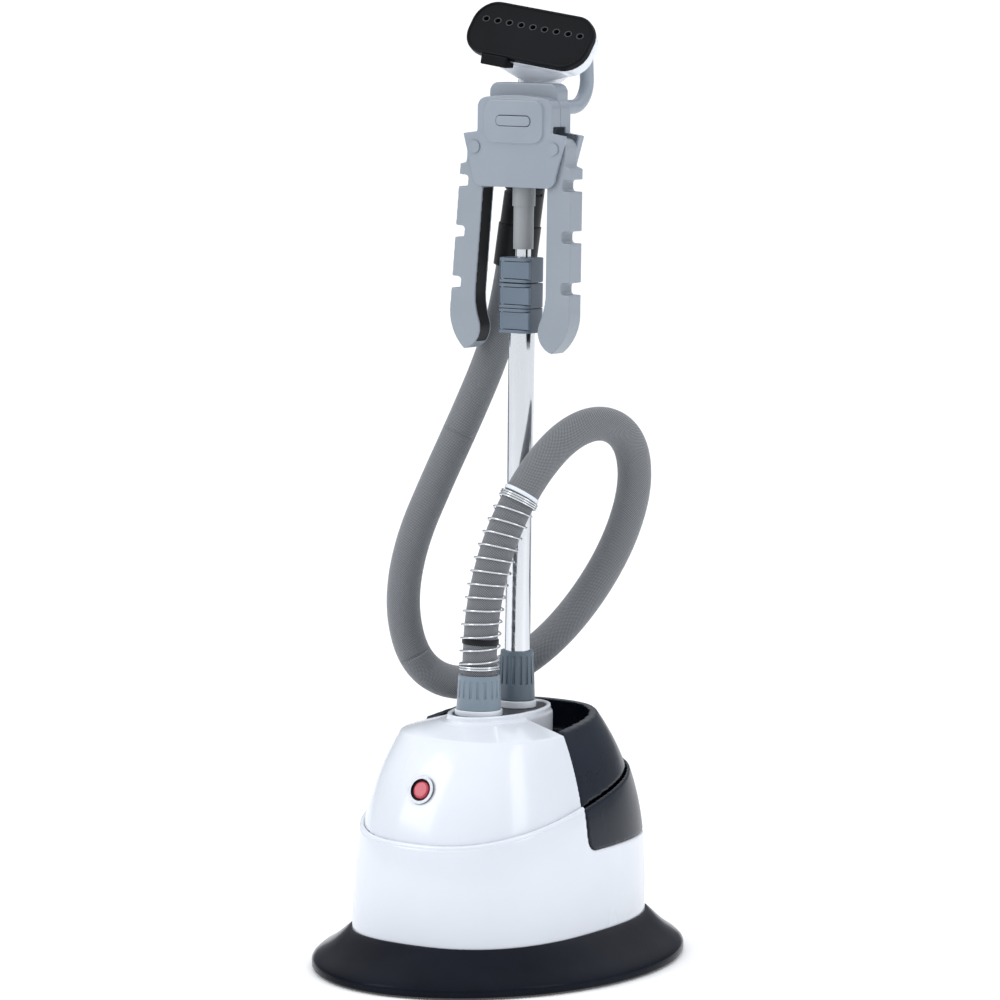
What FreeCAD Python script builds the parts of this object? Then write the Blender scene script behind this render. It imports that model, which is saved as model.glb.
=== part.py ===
import FreeCAD
import Part
import math
import os

# Upright garment steamer on a floor base: boiler and tank in the base, a telescopic pole, a folding
# hanger with a cradle, and a steam head on a flexible hose. Millimetres, +Z up, front towards -Y.
# The origin is on the floor under the middle of the base.

os.makedirs("parts", exist_ok=True)
V = FreeCAD.Vector
X_AXIS = V(1, 0, 0)
Y_AXIS = V(0, 1, 0)
Z_AXIS = V(0, 0, 1)

# Driving dimensions: base
SKIRT_HALF_X = 142.0
SKIRT_HALF_Y = 190.0
SKIRT_RISE = 36.0
BODY_HALF_X = 99.5
BODY_HALF_Y = 144.0
BODY_FOOT_Z = 25.0
SHOULDER_Z = 202.0
TOP_Z = 212.0
WALL = 3.4
SHELL_STEP = 3.0
SEAM_Z = 142.0
SEAM_SLOPE = 0.19
FOOT_HEIGHT = 4.0
PLATE_TOP_Z = 7.0

# Driving dimensions: tank
TANK_FRONT_Y = -14.0
TANK_FLOOR_Z = 103.0
TANK_TOE = 12.0
COLUMN_HALF_X = 33.0
COLUMN_HALF_Y = 63.0
COLUMN_Y = -6.0
RIM_SIDE_Z = 203.0
RIM_SLOPE = 0.10
WELL_FLOOR_Z = 180.0
RIM_WIDTH = 7.0
TANK_WALL = 3.0
TANK_GAP = 0.5
VALVE_Y = BODY_HALF_Y - 36.0

# Driving dimensions: mast
POLE_Y = 20.0
POLE_R = (11.0, 9.5, 8.0, 6.5)
POLE_WALL = 1.0
POLE_TOP_Z = (545.0, 566.0, 588.0, 690.0)
POLE_FOOT_Z = 150.0
POLE_FOOT_STEP = 10.0
CLAMP_Z = (531.0, 552.0, 573.5)
CLAMP_HEIGHT = 20.6
CLAMP_HALF_X = 15.5
CLAMP_BACK = 12.5
CLAMP_FRONT = 17.0
RUN_FIT = 0.05
FREE_GAP = 0.4

# Driving dimensions: hanger
PIVOT_X = 39.0
PIVOT_Z = 686.0
HANGER_Y0 = 3.0
HANGER_DEPTH = 30.0
SHELL_SPLIT_Y = 17.0
ARM_LENGTH = 171.0
ARM_WIDTH = 24.0
ARM_DEPTH = 18.0
ARM_SPLAY = 4.0
NOTCH_PITCH = 43.0
NOTCH_HEIGHT = 10.0
NOTCH_DEPTH = 9.0

# Driving dimensions: handset, built upright about its neck and then tilted into the cradle
NECK = V(-10, 56, 738)
HANDSET_ROLL = 8.0
NECK_FOOT = -27.0
PLATE_WIDTH = 120.0
PLATE_HEIGHT = 50.0
PLATE_CORNER = 21.0
PLATE_TILT = 31.0
PLATE_MIDDLE = V(4, -26, 40)
PLATE_THICK = 6.0
CUFF_FOOT = -156.0

# Driving dimensions: hose
HOSE_Y = -38.0
HOSE_R = 14.4
SPRING_R = 17.4
HOSE_ROUTE = [
    (0, -38, 233), (0, -38, 262), (1, -36, 300), (6, -28, 344), (15, -14, 384), (27, 4, 419),
    (41, 27, 446), (55, 53, 457), (65, 77, 449), (68, 94, 426), (64, 101, 391), (48, 102, 347),
    (25, 94, 303), (-2, 81, 265), (-31, 68, 239), (-58, 57, 225), (-83, 45, 221), (-103, 33, 232),
    (-114, 23, 256), (-116, 15, 297), (-104, 12, 347), (-83, 19, 400), (-62, 31, 455),
    (-46, 46, 508), (-36.5, 55, 556), (-24.5, 56, 635),
]
SPRING_RUNS = 4


def save(name, shape):
    if not shape.isValid():
        print("INVALID", name)
    if len(shape.Solids) == 0:
        print("EMPTY", name)
    shape.exportStep("parts/" + name + ".step")


def cylinder(radius, height, base, direction=Z_AXIS):
    return Part.makeCylinder(radius, height, base, direction)


def ring(outer, inner, height, base, direction=Z_AXIS):
    return cylinder(outer, height, base, direction).cut(cylinder(inner, height, base, direction))


def box(low, high):
    size = V(*high) - V(*low)
    return Part.makeBox(size.x, size.y, size.z, V(*low))


def rounded_box(low, high, radius, axis=Z_AXIS):
    solid = box(low, high)
    edges = [e for e in solid.Edges if abs(e.tangentAt(e.FirstParameter).dot(axis)) > 0.99]
    return solid.makeFillet(radius, edges)


def wall_outline(half_x, half_y, z, power=2.6, points=28, centre_y=0.0):
    # A closed smooth outline with flattened sides and soft corners.
    outline = []
    for i in range(points):
        angle = 2 * math.pi * i / points
        c, s = math.cos(angle), math.sin(angle)
        x = half_x * math.copysign(abs(c) ** (2 / power), c)
        y = half_y * math.copysign(abs(s) ** (2 / power), s)
        outline.append(V(x, centre_y + y, z))
    curve = Part.BSplineCurve()
    curve.interpolate(outline, PeriodicFlag=True)
    return Part.Wire([curve.toShape()])


def prism(half_x, half_y, low_z, high_z, power=2.6, centre_y=0.0):
    face = Part.Face(wall_outline(half_x, half_y, low_z, power, centre_y=centre_y))
    return face.extrude(V(0, 0, high_z - low_z))


def ellipse_disc(half_x, half_y, low_z, high_z, centre_y=0.0):
    circle = Part.Ellipse(V(0, centre_y + half_y, low_z), V(half_x, centre_y, low_z), V(0, centre_y, low_z))
    face = Part.Face(Part.Wire([circle.toShape()]))
    return face.extrude(V(0, 0, high_z - low_z))


def body_half_x(z):
    rise = (z - BODY_FOOT_Z) / (SHOULDER_Z - BODY_FOOT_Z)
    return BODY_HALF_X * (1 - 0.003 * rise - 0.273 * rise ** 3)


def body_half_y(z):
    rise = (z - BODY_FOOT_Z) / (SHOULDER_Z - BODY_FOOT_Z)
    return BODY_HALF_Y * (1 + 0.025 * rise - 0.344 * rise ** 3)


def body_form(inset, low_z=12.0, high_z=SHOULDER_Z):
    # The leaning outer form of the base, moved inwards on all sides by inset.
    count = 6
    levels = [low_z + (high_z - low_z) * i / (count - 1) for i in range(count)]
    wires = [wall_outline(body_half_x(z) - inset, body_half_y(z) - inset, z) for z in levels]
    return Part.makeLoft(wires, True, False)


def shoulder_form(inset):
    edge = SHOULDER_Z - inset
    low = wall_outline(body_half_x(edge) - inset, body_half_y(edge) - inset, edge)
    high = wall_outline(
        COLUMN_HALF_X + 5.0 - inset, COLUMN_HALF_Y + 6.0 - inset, TOP_Z - inset, centre_y=COLUMN_Y)
    return Part.makeLoft([low, high], True, True)


def above_plane(height, slope):
    # Everything above a plane that rises towards the back.
    far = 400.0
    corners = [
        V(-far, -far, height - slope * far),
        V(-far, far, height + slope * far),
        V(-far, far, 2 * far),
        V(-far, -far, 2 * far),
    ]
    face = Part.Face(Part.makePolygon(corners + corners[:1]))
    return face.extrude(V(2 * far, 0, 0))


def tank_bay(grow):
    # The room at the back of the base that the tank drops into, round the pole's column.
    front = TANK_FRONT_Y - grow
    floor = TANK_FLOOR_Z - grow
    toe = TANK_TOE + grow
    bend = toe * (1 - math.sqrt(0.5))
    edges = [
        Part.LineSegment(V(-200, front, 260), V(-200, front, floor + toe)),
        Part.Arc(V(-200, front, floor + toe), V(-200, front + bend, floor + bend),
                 V(-200, front + toe, floor)),
        Part.LineSegment(V(-200, front + toe, floor), V(-200, 250, floor)),
        Part.LineSegment(V(-200, 250, floor), V(-200, 250, 260)),
        Part.LineSegment(V(-200, 250, 260), V(-200, front, 260)),
    ]
    space = Part.Face(Part.Wire([e.toShape() for e in edges])).extrude(V(400, 0, 0))
    column = prism(COLUMN_HALF_X - grow, COLUMN_HALF_Y - grow, 20, 300, power=2.2, centre_y=COLUMN_Y)
    return space.cut(column)


def housing(inset):
    outer = body_form(inset, high_z=SHOULDER_Z - inset).fuse(shoulder_form(inset))
    inner = body_form(inset + WALL, high_z=SHOULDER_Z - inset - WALL).fuse(shoulder_form(inset + WALL))
    hollow = inner.cut(tank_bay(WALL))
    return outer.cut(tank_bay(0)).cut(hollow)


upper_space = above_plane(SEAM_Z, SEAM_SLOPE)


# ---------------------------------------------------------------- skirt, plate and feet
def make_skirt(inset):
    rims = [
        (SKIRT_HALF_X - inset, SKIRT_HALF_Y - inset, 9.0 - inset),
        (SKIRT_HALF_X - 5 - inset, SKIRT_HALF_Y - 6 - inset, 12.5 - inset),
        (SKIRT_HALF_X - 22 - inset, SKIRT_HALF_Y - 24 - inset, 23.0 - inset),
        (BODY_HALF_X + 1.5 - inset, BODY_HALF_Y + 2 - inset, SKIRT_RISE - inset),
    ]
    wires = []
    for half_x, half_y, z in rims:
        curve = Part.Ellipse(V(0, half_y, z), V(half_x, 0, z), V(0, 0, z))
        wires.append(Part.Wire([curve.toShape()]))
    dome = Part.makeLoft(wires, True, False)
    return dome.fuse(ellipse_disc(SKIRT_HALF_X - inset, SKIRT_HALF_Y - inset, 2.0, 9.0 - inset))


body_plug = body_form(-0.3, low_z=2.0, high_z=60.0)
skirt = make_skirt(0).cut(make_skirt(3.0)).cut(body_plug)
save("base_skirt", skirt)

SCREW_PLACES = [(x, y) for x in (-76, 76) for y in (-78, 78)]
SCREW_SHAFT_R = 1.9
plate = ellipse_disc(SKIRT_HALF_X - 3.2, SKIRT_HALF_Y - 3.2, FOOT_HEIGHT, PLATE_TOP_Z - 1.4)
for x, y in SCREW_PLACES:
    plate = plate.cut(cylinder(SCREW_SHAFT_R, 10, V(x, y, 0)))
save("base_plate", plate)

feet = [cylinder(13, FOOT_HEIGHT, V(x, y, 0)) for x in (-78, 78) for y in (-122, 122)]
save("rubber_feet", Part.makeCompound([f.makeFillet(1.0, [f.Edges[2]]) for f in feet]))

screws = []
for x, y in SCREW_PLACES:
    head = cylinder(4.0, 2.0, V(x, y, FOOT_HEIGHT - 2.0))
    screws.append(head.fuse(cylinder(SCREW_SHAFT_R, 11.0, V(x, y, FOOT_HEIGHT))))
save("base_screws", Part.makeCompound(screws))

# ---------------------------------------------------------------- white housing in two shells
FLANGE_Z = 12.0
flange = prism(body_half_x(FLANGE_Z) - 1.0, body_half_y(FLANGE_Z) - 1.0, FLANGE_Z, FLANGE_Z + 3.0)
flange = flange.cut(prism(62, 96, FLANGE_Z, FLANGE_Z + 3.0))
GLAND_Z = 52.0
gland_y = body_half_y(GLAND_Z)
lower = housing(0).cut(upper_space).fuse(flange)
for x, y in SCREW_PLACES:
    lower = lower.cut(cylinder(SCREW_SHAFT_R, 10, V(x, y, 8)))
lower = lower.cut(cylinder(7.0, 30, V(0, gland_y - 20, GLAND_Z), Y_AXIS))
lower = lower.cut(cylinder(9.0, 20, V(0, VALVE_Y, TANK_FLOOR_Z - 10)))
save("lower_shell", lower)

SWITCH_Z = 160.0
SWITCH_LEAN = 21.0
switch_y = -(body_half_y(SWITCH_Z) - SHELL_STEP)
switch_place = FreeCAD.Placement(V(0, switch_y, SWITCH_Z), FreeCAD.Rotation(X_AXIS, 90 - SWITCH_LEAN))


def on_switch(shape):
    placed = shape.copy()
    placed.Placement = switch_place
    return placed


BEZEL_R = 12.0
SWITCH_HOLE_R = 10.4
LIP_WIDTH = 4.0
INSERT_HALF_X = COLUMN_HALF_X - 0.5 - LIP_WIDTH
INSERT_HALF_Y = COLUMN_HALF_Y - 0.5 - LIP_WIDTH
INSERT_Y = COLUMN_Y
upper = housing(SHELL_STEP).common(upper_space)
lip = ellipse_disc(INSERT_HALF_X + LIP_WIDTH, INSERT_HALF_Y + LIP_WIDTH, TOP_Z - 3.0, TOP_Z + 2.6, INSERT_Y)
lip = lip.cut(ellipse_disc(INSERT_HALF_X, INSERT_HALF_Y, TOP_Z - 3.0, TOP_Z + 3.0, INSERT_Y))
upper = upper.cut(ellipse_disc(INSERT_HALF_X, INSERT_HALF_Y, TOP_Z - 12.0, TOP_Z + 3.0, INSERT_Y))
upper = upper.fuse(lip)
upper = upper.cut(on_switch(cylinder(SWITCH_HOLE_R, 30, V(0, 0, -15))))
save("upper_shell", upper)

# ---------------------------------------------------------------- black top insert and its ports
INSERT_TOP = TOP_Z + 1.0
PORT_R = (13.0, 14.0)
insert = ellipse_disc(INSERT_HALF_X, INSERT_HALF_Y, TOP_Z - 5.0, INSERT_TOP, INSERT_Y)
for place_y, radius in ((HOSE_Y, PORT_R[0]), (POLE_Y, PORT_R[1])):
    insert = insert.cut(cylinder(radius, 20, V(0, place_y, TOP_Z - 10)))
save("top_insert", insert)
save("hose_port_ring", ring(20.0, PORT_R[0], 5.0, V(0, HOSE_Y, INSERT_TOP)))
save("pole_port_ring", ring(17.0, PORT_R[1], 6.0, V(0, POLE_Y, INSERT_TOP)))

# ---------------------------------------------------------------- sockets and collar nuts
SOCKET_FOOT_Z = 40.0
SOCKET_TOP = 224.0
pole_socket = cylinder(PORT_R[1], SOCKET_TOP - SOCKET_FOOT_Z, V(0, POLE_Y, SOCKET_FOOT_Z))
save("pole_socket", pole_socket.cut(cylinder(POLE_R[0], 100, V(0, POLE_Y, POLE_FOOT_Z))))

STEAM_BORE = 4.0
HOSE_SEAT_Z = HOSE_ROUTE[0][2]
outlet = cylinder(PORT_R[0], HOSE_SEAT_Z - 160, V(0, HOSE_Y, 160))
save("hose_socket", outlet.cut(cylinder(STEAM_BORE, 100, V(0, HOSE_Y, 150))))


def collar_nut(place_y, low_z, high_z, foot_r, top_r, bore, count, rib_low):
    # A tapered hand nut with a plain band below and a ring of ribs above it.
    blank = Part.makeCone(foot_r, top_r, high_z - low_z, V(0, place_y, low_z))
    groove = box((top_r - 0.6, -1.1, rib_low), (foot_r + 3, 1.1, high_z - 4))
    for i in range(count):
        cut = groove.copy()
        cut.rotate(V(0, 0, 0), Z_AXIS, 360.0 * i / count)
        cut.translate(V(0, place_y, 0))
        blank = blank.cut(cut)
    return blank.cut(cylinder(bore, high_z - low_z, V(0, place_y, low_z)))


NUT_FOOT_Z = INSERT_TOP + 5.0
hose_nut = collar_nut(HOSE_Y, NUT_FOOT_Z, 247.0, 18.8, 17.5, PORT_R[0] + RUN_FIT, 18, 228.0)
hose_nut = hose_nut.cut(cylinder(HOSE_R + FREE_GAP, 30, V(0, HOSE_Y, HOSE_SEAT_Z - 1.0)))
save("hose_collar_nut", hose_nut)
POLE_NUT_TOP = 261.0
pole_nut = collar_nut(
    POLE_Y, INSERT_TOP + 6.0 + FREE_GAP, POLE_NUT_TOP, 15.8, 14.0, POLE_R[0] + RUN_FIT, 16, 233.0)
nut_room = SOCKET_TOP - TOP_Z + FREE_GAP
pole_nut = pole_nut.cut(cylinder(PORT_R[1] + FREE_GAP, nut_room, V(0, POLE_Y, TOP_Z)))
save("pole_collar_nut", pole_nut)

# ---------------------------------------------------------------- power switch
save("switch_bezel", on_switch(ring(BEZEL_R, SWITCH_HOLE_R - 1.0, 2.4, V(0, 0, -0.2))))
SWITCH_FLOOR = -8.0
cup = cylinder(SWITCH_HOLE_R - 1.0, 9.0, V(0, 0, SWITCH_FLOOR - 1.0))
cup = cup.cut(cylinder(SWITCH_HOLE_R - 2.2, 20, V(0, 0, SWITCH_FLOOR)))
cup = cup.cut(cylinder(2.4, 4, V(0, 0, SWITCH_FLOOR - 2.0)))
save("switch_housing", on_switch(cup))
BUTTON_TRAVEL = 2.0
button = cylinder(7.6, 7.5, V(0, 0, SWITCH_FLOOR + BUTTON_TRAVEL + 0.6))
button = button.makeFillet(2.2, [button.Edges[0]])
stem = cylinder(2.0, 4.0, V(0, 0, SWITCH_FLOOR - 1.3))
save("power_button", on_switch(button.fuse(stem)))
save("microswitch", on_switch(box((-8, -5, -21), (8, 5, SWITCH_FLOOR - BUTTON_TRAVEL - 1.6))))

# ---------------------------------------------------------------- boiler and plumbing
BOILER_Y = -64.0
BOILER_R = 38.0
BOILER_Z = 22.0
boiler = ring(BOILER_R, BOILER_R - 4, 60.0, V(0, BOILER_Y, BOILER_Z))
save("boiler", boiler.fuse(cylinder(BOILER_R, 4.0, V(0, BOILER_Y, BOILER_Z))))
cover_z = BOILER_Z + 60.0
save("boiler_cover", cylinder(BOILER_R, 10.0, V(0, BOILER_Y, cover_z)).cut(
    cylinder(STEAM_BORE, 20, V(0, HOSE_Y, cover_z - 5))))
save("steam_pipe", ring(6.5, STEAM_BORE, 160.0 - cover_z - 10.0, V(0, HOSE_Y, cover_z + 10.0)))
save("terminal_block", box((44, -70, 16), (70, -40, 34)))
FEED_Z = 30.0
seat = cylinder(9.0, 17.0, V(0, VALVE_Y, TANK_FLOOR_Z - 17.0)).cut(
    cylinder(5.0, 14.0, V(0, VALVE_Y, TANK_FLOOR_Z - 14.0)))
save("water_inlet_seat", seat)
feed_top = TANK_FLOOR_Z - 17.0
feed = cylinder(4.0, feed_top - FEED_Z, V(0, VALVE_Y, FEED_Z))
feed = feed.fuse(cylinder(4.0, 30.0, V(0, VALVE_Y, FEED_Z), X_AXIS))
feed = feed.fuse(cylinder(4.0, VALVE_Y - BOILER_Y, V(30, BOILER_Y, FEED_Z), Y_AXIS))
save("feed_tube", feed.cut(cylinder(BOILER_R, 60, V(0, BOILER_Y, BOILER_Z))))
gland = cylinder(7.0, 12.0, V(0, gland_y - 10, GLAND_Z), Y_AXIS)
collar = cylinder(9.0, 8.0, V(0, gland_y - 2.0, GLAND_Z), Y_AXIS).cut(body_form(0))
save("cord_gland", gland.fuse(collar))

# ---------------------------------------------------------------- water tank
tank_space = tank_bay(-TANK_GAP)
chamber = tank_bay(-TANK_GAP - TANK_WALL)
rim_space = above_plane(RIM_SIDE_Z, RIM_SLOPE)
TANK_TOP_Z = 222.0


def tank_form(inset):
    # The tank carries the housing's form on upwards to its rim.
    return body_form(inset, high_z=TANK_TOP_Z)


CAP_R = 15.0
tank_low = tank_form(0).common(tank_space).cut(upper_space)
tank_low = tank_low.cut(tank_form(TANK_WALL).common(chamber).cut(upper_space))
tank_low = tank_low.cut(cylinder(CAP_R, 8, V(0, VALVE_Y, TANK_FLOOR_Z - 1)))
save("tank_body", tank_low)
above_well = box((-200, -200, WELL_FLOOR_Z), (200, 250, 400))
under_roof = box((-200, -200, 0), (200, 250, WELL_FLOOR_Z - TANK_WALL))
tank_high = tank_form(SHELL_STEP).common(tank_space).common(upper_space).cut(rim_space)
tank_high = tank_high.cut(tank_form(SHELL_STEP + TANK_WALL).common(chamber).common(under_roof))
tank_high = tank_high.cut(tank_form(SHELL_STEP + RIM_WIDTH).common(above_well))
save("tank_rim", tank_high)
cap = cylinder(CAP_R, 7.0, V(0, VALVE_Y, TANK_FLOOR_Z + TANK_GAP))
cap = cap.cut(cylinder(2.2, 8.0, V(0, VALVE_Y, TANK_FLOOR_Z)))
save("tank_cap", cap)
save("valve_stem", cylinder(2.2, 16.0, V(0, VALVE_Y, TANK_FLOOR_Z + TANK_GAP)).fuse(
    cylinder(4.5, 1.6, V(0, VALVE_Y, TANK_FLOOR_Z + TANK_GAP + 16.0))))

# ---------------------------------------------------------------- telescopic pole and its clamps
for i, radius in enumerate(POLE_R):
    foot_z = POLE_FOOT_Z + POLE_FOOT_STEP * i
    tube = cylinder(radius, POLE_TOP_Z[i] - foot_z, V(0, POLE_Y, foot_z))
    tube = tube.cut(cylinder(radius - POLE_WALL, 600, V(0, POLE_Y, foot_z - 5)))
    save("mast_tube_%d" % (i + 1), tube)

PIN_X = -10.4
PIN_Y = POLE_Y - CLAMP_FRONT + 3.0
PIN_R = 1.5
KNUCKLE_R = 2.5
for i, low_z in enumerate(CLAMP_Z):
    body = rounded_box(
        (-CLAMP_HALF_X, POLE_Y - CLAMP_FRONT, low_z),
        (CLAMP_HALF_X, POLE_Y + CLAMP_BACK, low_z + CLAMP_HEIGHT), 7.0)
    body = body.cut(cylinder(POLE_R[i], POLE_TOP_Z[i] - low_z, V(0, POLE_Y, low_z)))
    body = body.cut(cylinder(POLE_R[i + 1] + RUN_FIT, 40, V(0, POLE_Y, low_z)))
    lever_low = low_z + 3.2
    lever_high = low_z + CLAMP_HEIGHT - 3.2
    lever_height = lever_high - lever_low
    recess = box((PIN_X - 3.2, POLE_Y - 30, lever_low - 0.4), (40, PIN_Y + 1.6, lever_high + 0.4))
    recess = recess.fuse(cylinder(KNUCKLE_R + 0.4, lever_height + 0.8, V(PIN_X, PIN_Y, lever_low - 0.4)))
    body = body.cut(recess).cut(cylinder(PIN_R, 40, V(PIN_X, PIN_Y, low_z)))
    save("mast_clamp_%d" % (i + 1), body)
    lever = cylinder(KNUCKLE_R, lever_height, V(PIN_X, PIN_Y, lever_low))
    paddle = box((PIN_X, PIN_Y - 2.2, lever_low), (CLAMP_HALF_X + 1.0, PIN_Y + 1.2, lever_high))
    lever = lever.fuse(paddle).cut(cylinder(PIN_R + RUN_FIT, 40, V(PIN_X, PIN_Y, low_z)))
    save("clamp_lever_%d" % (i + 1), lever)
    save("clamp_pin_%d" % (i + 1), cylinder(PIN_R, CLAMP_HEIGHT, V(PIN_X, PIN_Y, low_z)))

# ---------------------------------------------------------------- hanger head
SOCKET_Z = 601.0
SOCKET_BLIND_Z = 705.0
sleeve = cylinder(8.5, 637.0 - SOCKET_Z, V(0, POLE_Y, SOCKET_Z))
sleeve = sleeve.fuse(cylinder(9.6, SOCKET_BLIND_Z - 637.0, V(0, POLE_Y, 637.0)))
sleeve = sleeve.cut(cylinder(POLE_R[3] + RUN_FIT, POLE_TOP_Z[3] + 0.5 - SOCKET_Z, V(0, POLE_Y, SOCKET_Z)))
save("hanger_socket", sleeve)

HANGER_FOOT_Z = 653.0
HANGER_TOP_Z = 728.0
HANGER_HALF_X = 37.0
FLARE_HALF_X = 51.0
FLARE_Z = 697.0
HANGER_TOE_X = 41.0
hanger_y1 = HANGER_Y0 + HANGER_DEPTH


def hanger_outline(inset, y):
    # Front view: a block with round shoulders over a foot that narrows from two side points.
    foot = HANGER_FOOT_Z + inset
    top = HANGER_TOP_Z - inset
    head = HANGER_HALF_X - inset
    flare = FLARE_HALF_X - inset
    toe = HANGER_TOE_X - inset
    corner = 9.0
    bend = corner * (1 - math.sqrt(0.5))
    right = [
        Part.Arc(V(toe - corner, y, foot), V(toe - bend, y, foot + bend), V(toe, y, foot + corner)),
        Part.LineSegment(V(toe, y, foot + corner), V(flare, y, FLARE_Z)),
        Part.LineSegment(V(flare, y, FLARE_Z), V(head, y, FLARE_Z + 2)),
        Part.LineSegment(V(head, y, FLARE_Z + 2), V(head, y, top - corner)),
        Part.Arc(V(head, y, top - corner), V(head - bend, y, top - bend), V(head - corner, y, top)),
    ]
    wire = [e.toShape() for e in right]
    wire += [e.mirror(V(0, 0, 0), X_AXIS) for e in wire]
    wire.append(Part.LineSegment(V(-toe + corner, y, foot), V(toe - corner, y, foot)).toShape())
    crown = Part.Arc(V(head - corner, y, top), V(0, y, top + 2), V(-head + corner, y, top))
    wire.append(crown.toShape())
    return Part.Wire(Part.__sortEdges__(wire))


def hanger_slab(inset, low_y, high_y):
    return Part.Face(hanger_outline(inset, low_y)).extrude(V(0, high_y - low_y, 0))


ARM_Y0 = HANGER_Y0 + 4.0
arm_y1 = ARM_Y0 + ARM_DEPTH
PIVOT_R = 4.0
ARM_KNUCKLE_R = 9.0
hanger_hollow = hanger_slab(2.5, HANGER_Y0 + 3.0, hanger_y1 - 3.0)
hanger = hanger_slab(0, HANGER_Y0, hanger_y1).cut(hanger_hollow)
core = box((-24, HANGER_Y0 + 2, HANGER_FOOT_Z), (24, hanger_y1 - 2, HANGER_TOP_Z - 10))
hanger = hanger.fuse(core.common(hanger_slab(1.0, HANGER_Y0, hanger_y1)))
hanger = hanger.cut(cylinder(9.6, SOCKET_BLIND_Z - 600, V(0, POLE_Y, 600)))
for side in (-1, 1):
    slot = box((27.0, ARM_Y0 - 0.6, HANGER_FOOT_Z - 10), (80, arm_y1 + 0.6, PIVOT_Z + 18.0))
    if side < 0:
        slot = slot.mirror(V(0, 0, 0), X_AXIS)
    hanger = hanger.cut(slot)
    hanger = hanger.cut(cylinder(PIVOT_R, 60, V(side * PIVOT_X, -10, PIVOT_Z), Y_AXIS))
BOSS_HALF_X = 29.0
CREST_Z = 740.0
boss = rounded_box((-BOSS_HALF_X, HANGER_Y0 - 2.0, 690), (BOSS_HALF_X, HANGER_Y0 + 1.0, 726), 9.0, Y_AXIS)
BUTTON_SLOT = ((-17.0, 704.0), (17.0, 713.0))
slot = rounded_box(
    (BUTTON_SLOT[0][0], HANGER_Y0 - 5, BUTTON_SLOT[0][1]),
    (BUTTON_SLOT[1][0], HANGER_Y0 + 5, BUTTON_SLOT[1][1]), 4.0, Y_AXIS)
hanger = hanger.fuse(boss).cut(slot)
for x, z in ((-19, 663), (19, 663), (0, 722)):
    hanger = hanger.cut(cylinder(2.0, 18, V(x, hanger_y1 - 16, z), Y_AXIS))
front_half = box((-90, -20, 600), (90, SHELL_SPLIT_Y, 800))
save("hanger_front", hanger.common(front_half))
crest = rounded_box((-34, SHELL_SPLIT_Y, 712), (34, hanger_y1, CREST_Z), 8.0, Y_AXIS)
crest = crest.cut(cylinder(2.0, 18, V(0, hanger_y1 - 16, 722), Y_AXIS))
save("hanger_back", hanger.fuse(crest).cut(front_half))
hanger_bolts = []
for x, z in ((-19, 663), (19, 663), (0, 722)):
    hanger_bolts.append(cylinder(2.0, 15.5, V(x, hanger_y1 - 16, z), Y_AXIS))
save("hanger_screws", Part.makeCompound(hanger_bolts))
release = rounded_box(
    (BUTTON_SLOT[0][0] + FREE_GAP, HANGER_Y0 - 2.6, BUTTON_SLOT[0][1] + FREE_GAP),
    (BUTTON_SLOT[1][0] - FREE_GAP, HANGER_Y0 + 2.4, BUTTON_SLOT[1][1] - FREE_GAP), 3.6, Y_AXIS)
save("release_button", release)

# ---------------------------------------------------------------- folding arms
ARM_FOOT_Z = PIVOT_Z - ARM_LENGTH
ARM_X0 = PIVOT_X - 8.0
ARM_TOP_Z = PIVOT_Z - 16.0
arm_x1 = ARM_X0 + ARM_WIDTH


def arm_outline():
    # Front view of the right arm: a straight blade, swollen inwards above a broad round toe.
    low = ARM_FOOT_Z
    y = ARM_Y0
    swell = ARM_X0 - 6
    edges = [
        Part.LineSegment(V(ARM_X0, y, PIVOT_Z - 4), V(ARM_X0, y, low + 48)),
        Part.Arc(V(ARM_X0, y, low + 48), V(ARM_X0 - 1.5, y, low + 38), V(swell + 1, y, low + 27)),
        Part.Arc(V(swell + 1, y, low + 27), V(swell + 1, y, low + 9), V(swell + 13, y, low)),
        Part.Arc(V(swell + 13, y, low), V(arm_x1 - 6, y, low + 12), V(arm_x1, y, low + 38)),
        Part.LineSegment(V(arm_x1, y, low + 38), V(arm_x1, y, ARM_TOP_Z)),
        Part.LineSegment(V(arm_x1, y, ARM_TOP_Z), V(arm_x1 - 6, y, ARM_TOP_Z + 2)),
        Part.LineSegment(V(arm_x1 - 6, y, ARM_TOP_Z + 2), V(arm_x1 - 6, y, PIVOT_Z - 2)),
        Part.LineSegment(V(arm_x1 - 6, y, PIVOT_Z - 2), V(ARM_X0, y, PIVOT_Z - 4)),
    ]
    return Part.Wire([e.toShape() for e in edges])


def place_arm(shape, side):
    placed = shape
    if side < 0:
        placed = shape.mirror(V(0, 0, 0), X_AXIS)
        placed.rotate(V(-PIVOT_X, 0, PIVOT_Z), Y_AXIS, ARM_SPLAY)
    return placed


arm = Part.Face(arm_outline()).extrude(V(0, ARM_DEPTH, 0))
arm = arm.fuse(cylinder(ARM_KNUCKLE_R, ARM_DEPTH, V(PIVOT_X + 1, ARM_Y0, PIVOT_Z), Y_AXIS))
first_notch = PIVOT_Z - 30.0
for i in range(3):
    notch_z = first_notch - NOTCH_PITCH * i
    notch = rounded_box(
        (arm_x1 - NOTCH_DEPTH, ARM_Y0 - 5, notch_z - NOTCH_HEIGHT / 2),
        (arm_x1 + 15, arm_y1 + 5, notch_z + NOTCH_HEIGHT / 2), 3.0, Y_AXIS)
    arm = arm.cut(notch)
arm = arm.cut(cylinder(PIVOT_R + RUN_FIT, 40, V(PIVOT_X, ARM_Y0 - 5, PIVOT_Z), Y_AXIS))
LINER_Z = (ARM_FOOT_Z + 7, PIVOT_Z - 34)
LINER_THICK = 1.2
blade_core = Part.Face(arm_outline()).makeOffset2D(-LINER_THICK).extrude(V(0, ARM_DEPTH, 0))
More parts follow.
